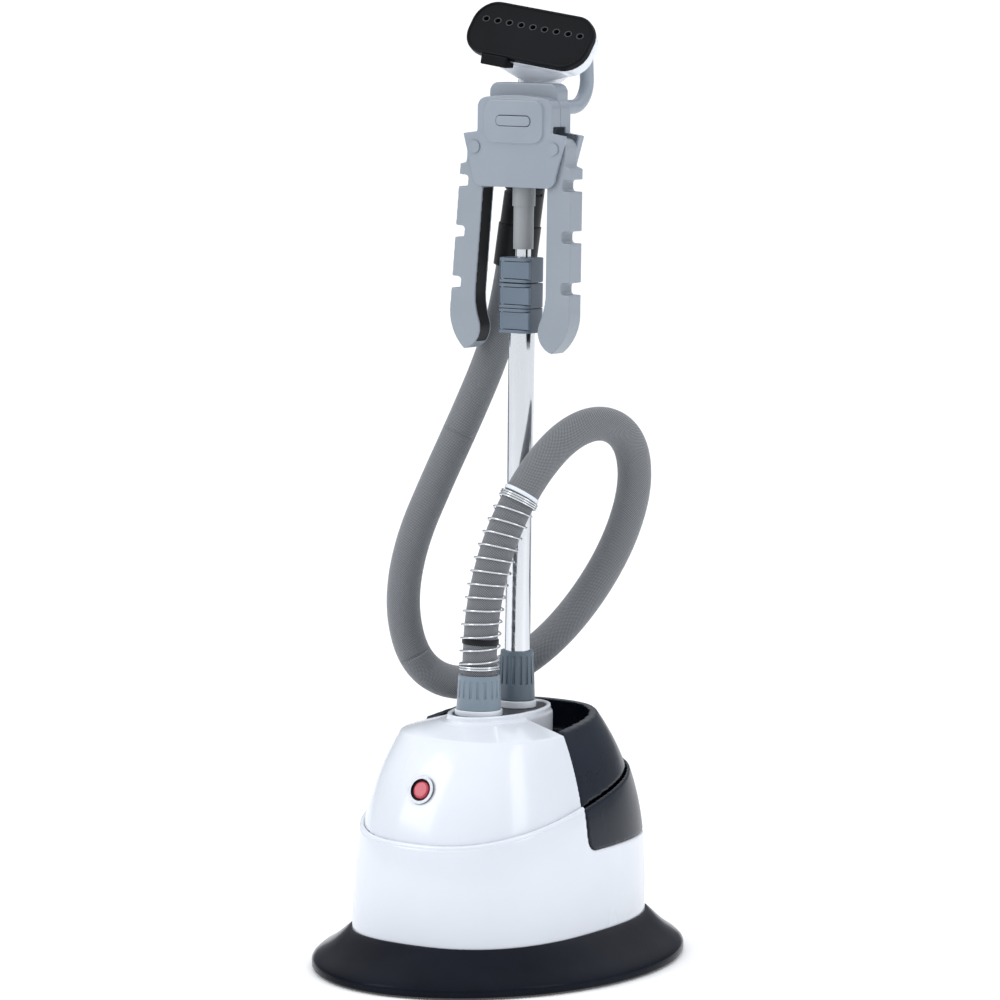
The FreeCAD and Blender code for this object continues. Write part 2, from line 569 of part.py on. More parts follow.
liner_space = box((0, ARM_Y0 + 2, LINER_Z[0]), (ARM_X0 + 6, arm_y1 - 2, LINER_Z[1]))
liner = arm.common(liner_space).cut(blade_core)
arm = arm.cut(liner)
pivot_length = HANGER_DEPTH - 0.6
pivot = cylinder(PIVOT_R, pivot_length, V(PIVOT_X, HANGER_Y0 - 0.6, PIVOT_Z), Y_AXIS)
pivot = pivot.fuse(cylinder(5.2, 1.4, V(PIVOT_X, HANGER_Y0 - 1.4, PIVOT_Z), Y_AXIS))
for side, word in ((1, "right"), (-1, "left")):
    save("arm_" + word, place_arm(arm, side))
    save("arm_liner_" + word, place_arm(liner, side))
    save("arm_pivot_" + word, place_arm(pivot, side))

# ---------------------------------------------------------------- cradle
TINE_X = (-38.0, 24.0)
TINE_R = 6.0
CRADLE_Z = 720.0
tine_y = 78.0
curl = 22.0
tines = []
for x in TINE_X:
    bend_y = tine_y - curl
    mid = curl * math.sqrt(0.5)
    path = Part.Wire([
        Part.LineSegment(V(x, hanger_y1 - 0.5, CRADLE_Z), V(x, bend_y, CRADLE_Z)).toShape(),
        Part.Arc(V(x, bend_y, CRADLE_Z), V(x, bend_y + mid, CRADLE_Z + curl - mid),
                 V(x, tine_y, CRADLE_Z + curl)).toShape(),
        Part.LineSegment(V(x, tine_y, CRADLE_Z + curl), V(x, tine_y - 2, 764)).toShape(),
    ])
    start = Part.Wire([Part.Circle(V(x, hanger_y1 - 0.5, CRADLE_Z), Y_AXIS, TINE_R).toShape()])
    tines.append(path.makePipeShell([start], True, True))
bar = rounded_box(
    (TINE_X[0] - 5, hanger_y1, CRADLE_Z - 6), (TINE_X[1] + 5, hanger_y1 + 3, CRADLE_Z + 5), 1.0)
cradle = bar.fuse(tines[0]).fuse(tines[1]).cut(hanger_slab(0, HANGER_Y0, hanger_y1))
save("cradle", cradle)

# ---------------------------------------------------------------- handset
handset_place = FreeCAD.Placement(NECK, FreeCAD.Rotation(Y_AXIS, HANDSET_ROLL))


def on_handset(shape):
    placed = shape.copy()
    placed.Placement = handset_place
    return placed


def plate_outline(width, height, corner, normal_offset):
    # The steam face's rounded outline, leaning back, in the handset's own upright frame.
    lean = math.radians(PLATE_TILT)
    middle = PLATE_MIDDLE
    normal = V(0, -math.cos(lean), math.sin(lean))
    rise = V(0, math.sin(lean), math.cos(lean))
    middle = middle + normal * normal_offset

    def at(x, h):
        return middle + X_AXIS * x + rise * h

    w, h, bend = width / 2, height / 2, corner * (1 - math.sqrt(0.5))
    edges = [
        Part.LineSegment(at(-w + corner, -h), at(w - corner, -h)),
        Part.Arc(at(w - corner, -h), at(w - bend, -h + bend), at(w, -h + corner)),
        Part.LineSegment(at(w, -h + corner), at(w, h - corner)),
        Part.Arc(at(w, h - corner), at(w - bend, h - bend), at(w - corner, h)),
        Part.LineSegment(at(w - corner, h), at(-w + corner, h)),
        Part.Arc(at(-w + corner, h), at(-w + bend, h - bend), at(-w, h - corner)),
        Part.LineSegment(at(-w, h - corner), at(-w, -h + corner)),
        Part.Arc(at(-w, -h + corner), at(-w + bend, -h + bend), at(-w + corner, -h)),
    ]
    return Part.Wire([e.toShape() for e in edges]), normal


plate_wire, plate_normal = plate_outline(PLATE_WIDTH, PLATE_HEIGHT, PLATE_CORNER, 0)
steam_plate = Part.Face(plate_wire).extrude(plate_normal * PLATE_THICK)
holes = []
HOLE_ROW_RISE = 7.0
HOLE_COUNT = 9
HOLE_PITCH = 11.8
HOLE_R = 2.0
lean = math.radians(PLATE_TILT)
for i in range(HOLE_COUNT):
    along = (i - (HOLE_COUNT - 1) / 2) * HOLE_PITCH
    rise = V(0, math.sin(lean), math.cos(lean)) * HOLE_ROW_RISE
    hole_base = PLATE_MIDDLE + X_AXIS * along + rise - plate_normal * 2
    holes.append(cylinder(HOLE_R, 12, hole_base, plate_normal))
for hole in holes:
    steam_plate = steam_plate.cut(hole)
save("steam_plate", on_handset(steam_plate))


def neck_circle(radius, z):
    # The plate outline's pattern closed to a circle, so that the head narrows evenly.
    edges = []
    start = math.radians(-135)
    for i in range(8):
        a0 = start + i * math.pi / 4 - math.pi / 8
        pts = [V(radius * math.cos(a0 + k * math.pi / 8), radius * math.sin(a0 + k * math.pi / 8), z)
               for k in range(3)]
        edges.append(Part.Arc(*pts).toShape())
    return Part.Wire(edges)


back_wire = plate_outline(PLATE_WIDTH - 9, PLATE_HEIGHT - 7, PLATE_CORNER - 4, -14.0)[0]
NECK_R = (13.5, 17.0)
head = Part.makeLoft([neck_circle(NECK_R[1], 2.0), back_wire, plate_wire], True, True)
neck = Part.makeCone(NECK_R[0], NECK_R[1], 2.0 - NECK_FOOT, V(0, 0, NECK_FOOT))
NECK_TUBE_R = 5.0
head = head.fuse(neck).cut(cylinder(NECK_TUBE_R, 44, V(0, 0, NECK_FOOT)))
save("head_shell", on_handset(head))

GRIP_FOOT = -120.0
grip = Part.makeCone(17.2, 16.6, NECK_FOOT - 5.0 - GRIP_FOOT, V(0, 0, GRIP_FOOT))
grip = grip.fuse(Part.makeCone(16.6, 14.2, 5.0, V(0, 0, NECK_FOOT - 5.0)))
for i in range(9):
    rib_z = GRIP_FOOT + 27.0 + 6.2 * i
    grip = grip.cut(ring(30, 15.6, 2.2, V(0, 0, rib_z)).cut(box((-40, 2, -200), (40, 40, 20))))
HOSE_ROOM = 22.0
grip = grip.cut(cylinder(NECK_TUBE_R, 300, V(0, 0, -200)))
grip = grip.cut(cylinder(HOSE_R + FREE_GAP, HOSE_ROOM, V(0, 0, GRIP_FOOT)))
save("handle_grip", on_handset(grip))
cuff = ring(18.2, 16.0, GRIP_FOOT - CUFF_FOOT, V(0, 0, CUFF_FOOT))
save("hose_cuff", on_handset(cuff))
latch = rounded_box((-32, -46.0, 13), (-6, -33.0, 22), 1.5)
save("accessory_latch", on_handset(latch.cut(head).cut(steam_plate)))

# ---------------------------------------------------------------- steam hose and its strain spring


def route_curve(points, ratio=0.45):
    # Straight runs joined by tangent arcs, each as large as its two runs allow.
    stops = [V(*p) for p in points]
    edges = []
    radii = []
    here = stops[0]
    for before, corner, after in zip(stops, stops[1:], stops[2:]):
        run_in = corner - before
        run_out = after - corner
        turn = run_in.getAngle(run_out)
        radius = ratio * min(run_in.Length, run_out.Length) / math.tan(turn / 2)
        reach = radius * math.tan(turn / 2)
        start = corner - V(run_in).normalize() * reach
        end = corner + V(run_out).normalize() * reach
        inwards = (V(run_out).normalize() - V(run_in).normalize()).normalize()
        middle = corner + inwards * (radius / math.cos(turn / 2) - radius)
        edges.append(Part.LineSegment(here, start).toShape())
        edges.append(Part.Arc(start, middle, end).toShape())
        radii.append(round(radius))
        here = end
    edges.append(Part.LineSegment(here, stops[-1]).toShape())
    return edges, radii


def sweep(edges, radius):
    first = edges[0]
    start = first.valueAt(first.FirstParameter)
    heading = first.tangentAt(first.FirstParameter)
    profile = Part.Wire([Part.Circle(start, heading, radius).toShape()])
    return Part.Wire(edges).makePipeShell([profile], True, True)


hose_edges, hose_radii = route_curve(HOSE_ROUTE)
hose = sweep(hose_edges, HOSE_R)
length = sum(e.Length for e in hose_edges)
print("hose length %.0f, radii %s" % (length, hose_radii))
print("hose volume over section times length %.4f" % (hose.Volume / (math.pi * HOSE_R ** 2 * length)))
save("steam_hose", hose)
spring_edges = hose_edges[:2 * SPRING_RUNS]
spring_edges = spring_edges[1:]
spring = sweep(spring_edges, SPRING_R).cut(sweep(hose_edges[:2 * SPRING_RUNS + 2], HOSE_R))
save("hose_spring", spring)
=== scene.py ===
import math

import bmesh
import bpy
from mathutils import Matrix, Vector


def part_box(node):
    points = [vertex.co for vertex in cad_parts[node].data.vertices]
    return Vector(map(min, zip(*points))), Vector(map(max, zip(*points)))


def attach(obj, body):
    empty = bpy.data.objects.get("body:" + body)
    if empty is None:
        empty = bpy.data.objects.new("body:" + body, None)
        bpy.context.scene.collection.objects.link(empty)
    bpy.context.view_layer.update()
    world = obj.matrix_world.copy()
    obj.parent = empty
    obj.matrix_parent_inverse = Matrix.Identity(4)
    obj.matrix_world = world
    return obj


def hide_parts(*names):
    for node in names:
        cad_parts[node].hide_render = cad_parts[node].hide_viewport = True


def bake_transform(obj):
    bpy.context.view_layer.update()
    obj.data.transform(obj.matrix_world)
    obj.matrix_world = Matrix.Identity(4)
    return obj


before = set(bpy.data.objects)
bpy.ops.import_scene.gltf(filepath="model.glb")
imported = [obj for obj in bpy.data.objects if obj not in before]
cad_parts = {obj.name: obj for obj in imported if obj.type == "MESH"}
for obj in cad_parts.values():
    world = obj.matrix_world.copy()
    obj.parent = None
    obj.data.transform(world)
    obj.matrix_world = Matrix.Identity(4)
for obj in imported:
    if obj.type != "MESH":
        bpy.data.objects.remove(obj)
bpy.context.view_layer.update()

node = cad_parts

# ---------------------------------------------------------------- studio
# A pale sweep of floor under a bright room, one broad lamp to the left and a weaker one to the
# right. The camera stands at the front right, a little above the middle of the appliance.

VIEW_TURN = math.radians(33.0)
VIEW_AIM = math.radians(33.08)
VIEW_DISTANCE = 3.9
VIEW_HEIGHT = 0.83
VIEW_PITCH = math.radians(6.43)
VIEW_ROLL = math.radians(0.85)
LENS = 168.0


def look_along(turn, pitch, roll):
    forward = Vector((-math.sin(turn) * math.cos(pitch), math.cos(turn) * math.cos(pitch), -math.sin(pitch)))
    level = Vector((math.cos(turn), math.sin(turn), 0.0))
    up = level.cross(forward)
    across = level * math.cos(roll) + up * math.sin(roll)
    rise = up * math.cos(roll) - level * math.sin(roll)
    return Matrix((across, rise, -forward)).transposed().to_4x4()


camera_data = bpy.data.cameras.new("camera")
camera_data.lens = LENS
camera_data.sensor_width = 36.0
camera = bpy.data.objects.new("camera", camera_data)
bpy.context.scene.collection.objects.link(camera)
stand = Vector((VIEW_DISTANCE * math.sin(VIEW_TURN), -VIEW_DISTANCE * math.cos(VIEW_TURN), VIEW_HEIGHT))
camera.matrix_world = Matrix.Translation(stand) @ look_along(VIEW_AIM, VIEW_PITCH, VIEW_ROLL)
bpy.context.scene.camera = camera
bpy.context.scene.view_settings.view_transform = "Standard"

world = bpy.data.worlds.new("room")
world.use_nodes = True
sky = world.node_tree.nodes["Background"]
sky.inputs["Strength"].default_value = 1.0
direction = world.node_tree.nodes.new("ShaderNodeTexCoord")
parts = world.node_tree.nodes.new("ShaderNodeSeparateXYZ")
walls = world.node_tree.nodes.new("ShaderNodeValToRGB")
walls.color_ramp.elements[0].position = 0.22
walls.color_ramp.elements[0].color = (0.30, 0.31, 0.33, 1.0)
walls.color_ramp.elements[1].position = 0.62
walls.color_ramp.elements[1].color = (1.25, 1.27, 1.30, 1.0)
world.node_tree.links.new(direction.outputs["Generated"], parts.inputs["Vector"])
world.node_tree.links.new(parts.outputs["Z"], walls.inputs["Fac"])
world.node_tree.links.new(walls.outputs["Color"], sky.inputs["Color"])
bpy.context.scene.world = world


def lamp(name, place, aim, size, power):
    data = bpy.data.lights.new(name, "AREA")
    data.shape = "RECTANGLE"
    data.size = size[0]
    data.size_y = size[1]
    data.energy = power
    made = bpy.data.objects.new(name, data)
    bpy.context.scene.collection.objects.link(made)
    made.location = place
    made.rotation_euler = (Vector(aim) - Vector(place)).to_track_quat("-Z", "Y").to_euler()
    return made


lamp("left_lamp", (-1.6, -2.4, 1.9), (0, 0, 0.4), (1.2, 2.0), 26.0)
lamp("right_lamp", (2.6, 0.2, 1.4), (0, 0, 0.4), (0.8, 1.8), 12.0)


def new_material(name):
    made = bpy.data.materials.new(name)
    made.use_nodes = True
    tree = made.node_tree
    return made, tree, tree.nodes["Principled BSDF"]


def link_noise(tree, scale, detail=3.0, stretch=(1.0, 1.0, 1.0)):
    # Noise laid on the piece's own place in the appliance, in metres.
    place = tree.nodes.new("ShaderNodeTexCoord")
    spread = tree.nodes.new("ShaderNodeMapping")
    spread.inputs["Scale"].default_value = stretch
    noise = tree.nodes.new("ShaderNodeTexNoise")
    noise.inputs["Scale"].default_value = scale
    noise.inputs["Detail"].default_value = detail
    tree.links.new(place.outputs["Object"], spread.inputs["Vector"])
    tree.links.new(spread.outputs["Vector"], noise.inputs["Vector"])
    return noise


def link_range(tree, source, low, high):
    span = tree.nodes.new("ShaderNodeMapRange")
    span.inputs["From Min"].default_value = 0.3
    span.inputs["From Max"].default_value = 0.7
    span.inputs["To Min"].default_value = low
    span.inputs["To Max"].default_value = high
    tree.links.new(source, span.inputs["Value"])
    return span.outputs["Result"]


def link_shades(tree, source, dark, light):
    ramp = tree.nodes.new("ShaderNodeValToRGB")
    ramp.color_ramp.elements[0].position = 0.3
    ramp.color_ramp.elements[1].position = 0.7
    ramp.color_ramp.elements[0].color = (*dark, 1.0)
    ramp.color_ramp.elements[1].color = (*light, 1.0)
    tree.links.new(source, ramp.inputs["Fac"])
    return ramp.outputs["Color"]


def link_bump(tree, shader, height, distance, strength=0.4):
    bump = tree.nodes.new("ShaderNodeBump")
    bump.inputs["Strength"].default_value = strength
    bump.inputs["Distance"].default_value = distance
    tree.links.new(height, bump.inputs["Height"])
    tree.links.new(bump.outputs["Normal"], shader.inputs["Normal"])


def scaled(colour, amount):
    return tuple(min(1.0, c * amount) for c in colour)


def moulded(name, colour, rough, grain=900.0, depth=0.00004, coat=0.0, vary=0.05, shine=0.5):
    # Injection-moulded plastic: a faint mottle in the colour and shine over a fine moulding grain.
    made, tree, shader = new_material(name)
    mottle = link_noise(tree, 22.0, 2.0)
    shades = link_shades(tree, mottle.outputs["Fac"], scaled(colour, 1 - vary), scaled(colour, 1 + vary))
    tree.links.new(shades, shader.inputs["Base Color"])
    tree.links.new(link_range(tree, mottle.outputs["Fac"], rough * 0.85, rough * 1.15), shader.inputs["Roughness"])
    texture = link_noise(tree, grain, 2.0)
    link_bump(tree, shader, texture.outputs["Fac"], depth)
    shader.inputs["Specular IOR Level"].default_value = shine
    shader.inputs["Coat Weight"].default_value = coat
    shader.inputs["Coat Roughness"].default_value = 0.06
    return made


def dress(material, *names):
    # Gives CAD parts whose shape is already right their finish.
    for name in names:
        mesh = node[name].data
        mesh.materials.clear()
        mesh.materials.append(material)


FLOOR_REACH = 300.0
floor_paint = moulded("floor_paint", (0.96, 0.965, 0.97), 0.7, grain=300.0, vary=0.005)
floor_shader = floor_paint.node_tree.nodes["Principled BSDF"]
floor_shader.inputs["Emission Color"].default_value = (1.0, 1.0, 1.0, 1.0)
floor_shader.inputs["Emission Strength"].default_value = 0.07
floor_mesh = bpy.data.meshes.new("floor")
floor_mesh.from_pydata([(-FLOOR_REACH, -FLOOR_REACH, 0), (FLOOR_REACH, -FLOOR_REACH, 0),
                       (FLOOR_REACH, FLOOR_REACH, 0), (-FLOOR_REACH, FLOOR_REACH, 0)], [], [(0, 1, 2, 3)])
floor_mesh.materials.append(floor_paint)
floor = bpy.data.objects.new("floor", floor_mesh)
bpy.context.scene.collection.objects.link(floor)

# ---------------------------------------------------------------- steam hose
# A rubber steam hose in a woven grey sleeve. It leaves the base through the collar nut, loops
# behind the pole, turns at the bottom on the left and climbs into the cuff of the handset.

HOSE_RADIUS = 0.0144
HOSE_STEP = 0.003
LIMB_LOW_Z = 0.245
LIMB_HIGH_Z = 0.440
HOSE_ROUTE = [
    (0.0, -0.038, 0.233), (0.0, -0.038, 0.262), (0.001, -0.036, 0.300), (0.006, -0.028, 0.344),
    (0.015, -0.014, 0.384), (0.027, 0.004, 0.419), (0.041, 0.027, 0.446), (0.055, 0.053, 0.457),
    (0.065, 0.077, 0.449), (0.068, 0.094, 0.426), (0.064, 0.101, 0.391), (0.048, 0.102, 0.347),
    (0.025, 0.094, 0.303), (-0.002, 0.081, 0.265), (-0.031, 0.068, 0.239), (-0.058, 0.057, 0.225),
    (-0.083, 0.045, 0.221), (-0.103, 0.033, 0.232), (-0.114, 0.023, 0.256), (-0.116, 0.015, 0.297),
    (-0.104, 0.012, 0.347), (-0.083, 0.019, 0.400), (-0.062, 0.031, 0.455), (-0.046, 0.046, 0.508),
    (-0.0365, 0.055, 0.556), (-0.0245, 0.056, 0.635),
]


def route_line(name, route, resolution=24):
    # The smooth line through the route's control points, as places along it.
    curve = bpy.data.curves.new(name, "CURVE")
    curve.dimensions = "3D"
    curve.resolution_u = resolution
    spline = curve.splines.new("NURBS")
    spline.points.add(len(route) - 1)
    for point, place in zip(spline.points, route):
        point.co = (*place, 1.0)
    spline.order_u = 3
    spline.use_endpoint_u = True
    holder = bpy.data.objects.new(name, curve)
    bpy.context.scene.collection.objects.link(holder)
    bpy.context.view_layer.update()
    line = bpy.data.meshes.new_from_object(holder)
    places = [v.co.copy() for v in line.vertices]
    bpy.data.objects.remove(holder)
    bpy.data.meshes.remove(line)
    return places


def even_steps(places, step):
    # The same line with its places a fixed distance apart.
    total = sum((b - a).length for a, b in zip(places, places[1:]))
    count = max(2, round(total / step))
    gap = total / count
    out = [places[0].copy()]
    walked = 0.0
    target = gap
    for a, b in zip(places, places[1:]):
        run = (b - a).length
        while len(out) < count and walked + run >= target:
            out.append(a.lerp(b, (target - walked) / run))
            target += gap
        walked += run
    out.append(places[-1].copy())
    return out


def line_frames(places):
    # A direction and two square-on directions at each place, carried along without twist.
    headings = []
    for i in range(len(places)):
        ahead = places[min(i + 1, len(places) - 1)]
        behind = places[max(i - 1, 0)]
        headings.append((ahead - behind).normalized())
    side = headings[0].orthogonal().normalized()
    frames = []
    for i, heading in enumerate(headings):
        if i:
            side = headings[i - 1].rotation_difference(heading) @ side
        side = (side - heading * side.dot(heading)).normalized()
        frames.append((heading, side, heading.cross(side)))
    return frames


def add_piece(name, mesh, material):
    mesh.materials.clear()
    mesh.materials.append(material)
    mesh.polygons.foreach_set("use_smooth", [True] * len(mesh.polygons))
    made = bpy.data.objects.new(name, mesh)
    bpy.context.scene.collection.objects.link(made)
    return made


def tube_mesh(name, places, frames, radius, around=32, run_start=0.0):
    # A round tube along places, with its length and girth in metres as its UV map.
    verts = []
    for place, (_, side, other) in zip(places, frames):
        for k in range(around):
            angle = 2 * math.pi * k / around
            verts.append(place + (side * math.cos(angle) + other * math.sin(angle)) * radius)
    rows = len(places)
    faces = []
    for i in range(rows - 1):
        for k in range(around):
            n = (k + 1) % around
            faces.append((i * around + k, i * around + n, (i + 1) * around + n, (i + 1) * around + k))
    faces.append(tuple(reversed(range(around))))
    faces.append(tuple(range((rows - 1) * around, rows * around)))
    mesh = bpy.data.meshes.new(name)
    mesh.from_pydata(verts, [], faces)
    walked = [run_start]
    for a, b in zip(places, places[1:] + places[:1]):
        walked.append(walked[-1] + (b - a).length)
    uv = mesh.uv_layers.new(name="UVMap")
    girth = 2 * math.pi * radius
    for face in mesh.polygons:
        if len(face.vertices) != 4:
            continue
        i, k = divmod(face.index, around)
        corners = [(i, k), (i, k + 1), (i + 1, k + 1), (i + 1, k)]
        for loop, (row, turn) in zip(face.loop_indices, corners):
            uv.data[loop].uv = (walked[row], girth * turn / around)
    mesh.validate()
    return mesh


def woven_sleeve(name, dark, light, rib=0.0017, lay=40.0):
    # A braided sleeve: two sets of yarn crossing at a slant, with painted shade darkening them where they dip.
    made, tree, shader = new_material(name)
    uv = tree.nodes.new("ShaderNodeUVMap")
    uv.uv_map = "UVMap"
    bands = []
    for sign in (-1, 1):
        turn = tree.nodes.new("ShaderNodeMapping")
        turn.inputs["Rotation"].default_value = (0, 0, math.radians(lay * sign))
        wave = tree.nodes.new("ShaderNodeTexWave")
        wave.wave_type = "BANDS"
        wave.bands_direction = "X"
        wave.inputs["Scale"].default_value = 0.314 / rib
        wave.inputs["Distortion"].default_value = 0.4
        wave.inputs["Detail"].default_value = 1.0
        wave.inputs["Detail Scale"].default_value = 3.0
        tree.links.new(uv.outputs["UV"], turn.inputs["Vector"])
        tree.links.new(turn.outputs["Vector"], wave.inputs["Vector"])
        bands.append(wave)
    over = tree.nodes.new("ShaderNodeMath")
    over.operation = "MULTIPLY"
    tree.links.new(bands[0].outputs["Fac"], over.inputs[0])
    tree.links.new(bands[1].outputs["Fac"], over.inputs[1])
    # Painted shade: the colour runs from dark in the dips of the weave to light on the crossings.
    shades = tree.nodes.new("ShaderNodeValToRGB")
    shades.color_ramp.elements[0].position = 0.05
    shades.color_ramp.elements[1].position = 0.75
    shades.color_ramp.elements[0].color = (*dark, 1.0)
    shades.color_ramp.elements[1].color = (*light, 1.0)
    tree.links.new(over.outputs["Value"], shades.inputs["Fac"])
    tree.links.new(shades.outputs["Color"], shader.inputs["Base Color"])
    link_bump(tree, shader, over.outputs["Value"], 0.0004, 0.7)
    shader.inputs["Roughness"].default_value = 0.62
    shader.inputs["Sheen Weight"].default_value = 0.35
    shader.inputs["Sheen Roughness"].default_value = 0.45
    return made


# The darker colour here is the painted shade in the dips of the sleeve's weave.
hose_weave = woven_sleeve("hose_weave", (0.078, 0.083, 0.092), (0.335, 0.353, 0.378), rib=0.0012)
hose_line = even_steps(route_line("hose_route", HOSE_ROUTE), HOSE_STEP)
hose_frames = line_frames(hose_line)
lowest_left = min(range(len(hose_line)), key=lambda i: hose_line[i].x)
top_start = next(i for i in range(lowest_left, len(hose_line)) if hose_line[i].z > LIMB_HIGH_Z)
limb_start = next(i for i in range(lowest_left - 30, len(hose_line)) if hose_line[i].z > LIMB_LOW_Z)
HOSE_PARTS = (
    ("hose_loop", 0, limb_start),
    ("hose_limb", limb_start, top_start),
    ("hose_top", top_start, len(hose_line) - 1),
)
hose_pieces = {}
for name, first, last in HOSE_PARTS:
    places = hose_line[first:last + 1]
    walked = HOSE_STEP * first
    mesh = tube_mesh(name, places, hose_frames[first:last + 1], HOSE_RADIUS, 40, run_start=walked)
    hose_pieces[name] = add_piece(name, mesh, hose_weave)
    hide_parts("steam_hose")

# ---------------------------------------------------------------- strain spring, clip and tie
# A chrome wire spring keeps the hose from kinking where it leaves the base. Its ends are wound
# closed, a white clip holds its top and a black tie grips the sleeve low down.

WIRE_RADIUS = 0.00085
COIL_RADIUS = HOSE_RADIUS + 0.0021
COIL_LOW_Z = 0.250
COIL_HIGH_Z = 0.394
OPEN_TURNS = 13
CLOSED_TURNS = 2.5
TIE_HEIGHT = 0.272
CLIP_HEIGHT = 0.397


def polished(name, colour, rough, streak=(1.0, 1.0, 0.05)):
    # Plated or ground metal with faint drawing marks along it.
    made, tree, shader = new_material(name)
    marks = link_noise(tree, 1400.0, 2.0, streak)
    tree.links.new(link_range(tree, marks.outputs["Fac"], rough * 0.7, rough * 1.4), shader.inputs["Roughness"])
    shades = link_shades(tree, marks.outputs["Fac"], scaled(colour, 0.93), scaled(colour, 1.04))
    tree.links.new(shades, shader.inputs["Base Color"])
    shader.inputs["Metallic"].default_value = 1.0
    return made


def along(low_z, high_z):
    # The first and last place on the rising start of the hose between two heights.
    first = next(i for i, p in enumerate(hose_line) if p.z >= low_z)
    last = next(i for i, p in enumerate(hose_line) if p.z >= high_z)
    return first, last


chrome = polished("chrome", (0.67, 0.69, 0.72), 0.15)
coil_first, coil_last = along(COIL_LOW_Z, COIL_HIGH_Z)
coil_turns = OPEN_TURNS + 2 * CLOSED_TURNS
closed_share = CLOSED_TURNS * 2.2 * WIRE_RADIUS / (HOSE_STEP * (coil_last - coil_first))
coil_places = []
steps = int(coil_turns * 28)
for i in range(steps + 1):
    turn = coil_turns * i / steps
    if turn < CLOSED_TURNS:
        share = closed_share * turn / CLOSED_TURNS
    elif turn > coil_turns - CLOSED_TURNS:
        share = 1 - closed_share * (coil_turns - turn) / CLOSED_TURNS
    else:
        share = closed_share + (1 - 2 * closed_share) * (turn - CLOSED_TURNS) / OPEN_TURNS
    spot = coil_first + share * (coil_last - coil_first)
    low = min(int(spot), len(hose_line) - 2)
    middle = hose_line[low].lerp(hose_line[low + 1], spot - low)
    _, side, other = hose_frames[low]
    angle = 2 * math.pi * turn
    coil_places.append(middle + (side * math.cos(angle) + other * math.sin(angle)) * COIL_RADIUS)
coil_mesh = tube_mesh("strain_spring", coil_places, line_frames(coil_places), WIRE_RADIUS, 10)
strain_spring = add_piece("strain_spring", coil_mesh, chrome)
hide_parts("hose_spring")


def hose_band(name, at_z, half_length, inner, wall, material):
    # A rounded ring round the hose, square to it.
    index = next(i for i, p in enumerate(hose_line) if p.z >= at_z)
    middle = hose_line[index]
    heading, side, other = hose_frames[index]
    around, section = 56, 16
    verts, faces = [], []
    for i in range(around):
        angle = 2 * math.pi * i / around
        out = side * math.cos(angle) + other * math.sin(angle)
        for k in range(section):
            phase = 2 * math.pi * k / section
            c, s = math.cos(phase), math.sin(phase)
            width = math.copysign(abs(c) ** 0.6, c) * wall / 2 + wall / 2
            height = math.copysign(abs(s) ** 0.6, s) * half_length
            verts.append(middle + out * (inner + width) + heading * height)
    for i in range(around):
        j = (i + 1) % around
        for k in range(section):
            n = (k + 1) % section
            faces.append((i * section + k, i * section + n, j * section + n, j * section + k))
    mesh = bpy.data.meshes.new(name)
    mesh.from_pydata(verts, [], faces)
    work = bmesh.new()
    work.from_mesh(mesh)
    bmesh.ops.recalc_face_normals(work, faces=work.faces)
    work.to_mesh(mesh)
    work.free()
    return add_piece(name, mesh, material)


white_plastic = moulded("white_plastic", (0.75, 0.79, 0.85), 0.30, coat=0.25, vary=0.012)
black_satin = moulded("black_satin", (0.010, 0.011, 0.013), 0.42, depth=0.00006, vary=0.2, shine=0.18)
spring_clip = hose_band("spring_clip", CLIP_HEIGHT, 0.0018, HOSE_RADIUS - 0.0002, 0.0016, white_plastic)
hose_tie = hose_band("hose_tie", TIE_HEIGHT, 0.0026, HOSE_RADIUS - 0.0003, 0.0014, black_satin)
for piece in (hose_pieces["hose_loop"], strain_spring, spring_clip, hose_tie):
    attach(piece, "base")
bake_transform(hose_pieces["hose_limb"])
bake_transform(hose_pieces["hose_top"])


for name, first, last in HOSE_PARTS:
    places = hose_line[first:last + 1]

# ---------------------------------------------------------------- skirt, floor plate and feet
# The glossy black skirt is a wide oval dish moulded in one piece. A plate closes it underneath and
# stands on four rubber feet held up by screws into the housing's flange.

SKIRT_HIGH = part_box("base_skirt")[1]
SKIRT_HALF = (SKIRT_HIGH.x, SKIRT_HIGH.y)
BODY_FOOT_HALF = (0.1008, 0.1458)
SKIRT_PROFILE = (
    (0.070, 0.0021), (0.014, 0.0021), (0.0, 0.0032), (0.0, 0.0075), (0.018, 0.0093), (0.06, 0.0110),
    (0.12, 0.0130), (0.25, 0.0160), (0.40, 0.0197), (0.54, 0.0233), (0.70, 0.0277), (0.85, 0.0318),
    (0.95, 0.0343), (1.0, 0.0350), (1.04, 0.0350),
)


def lacquered(name, colour, rough, dust=(0.03, 0.034, 0.045)):
    # High-gloss black moulding under a clear skin, with a trace of dust and fine rub marks.
    made, tree, shader = new_material(name)
    haze = link_noise(tree, 9.0, 4.0)
    shades = link_shades(tree, haze.outputs["Fac"], colour, dust)
    tree.links.new(shades, shader.inputs["Base Color"])
    rubs = link_noise(tree, 60.0, 5.0)
    tree.links.new(link_range(tree, rubs.outputs["Fac"], rough * 0.8, rough * 1.35), shader.inputs["Roughness"])
    shader.inputs["Specular IOR Level"].default_value = 0.025
    shader.inputs["Coat Weight"].default_value = 0.02
    shader.inputs["Coat Roughness"].default_value = 0.08
    return made


